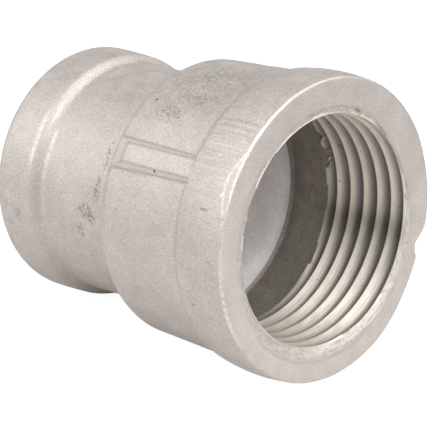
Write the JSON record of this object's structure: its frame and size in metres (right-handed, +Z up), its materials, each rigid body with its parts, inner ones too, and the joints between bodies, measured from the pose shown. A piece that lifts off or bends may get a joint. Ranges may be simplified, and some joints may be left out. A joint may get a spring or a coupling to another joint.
{
  "type": "reducing pipe coupling",
  "caption": "Cast stainless reducing coupling: female pipe threads at both ends, a plain band round each mouth, a stepped shoulder and drafted wrench ribs on the barrel.",
  "frame": {"origin": "on the coupling's axis, halfway between its two end faces", "axes": "+X along the axis and out of the large mouth; +Z up, with the coupling lying on its side and the visible wrench rib up and towards -Y"},
  "size_m": [0.046, 0.0406, 0.0406],
  "materials": {
    "cast_stainless": "blasted investment casting, dull warm grey with a fine grain; the threads and countersinks are machined bright"
  },
  "bodies": {
    "root": {"coupling_body": "cast_stainless"}
  },
  "joints": []
}
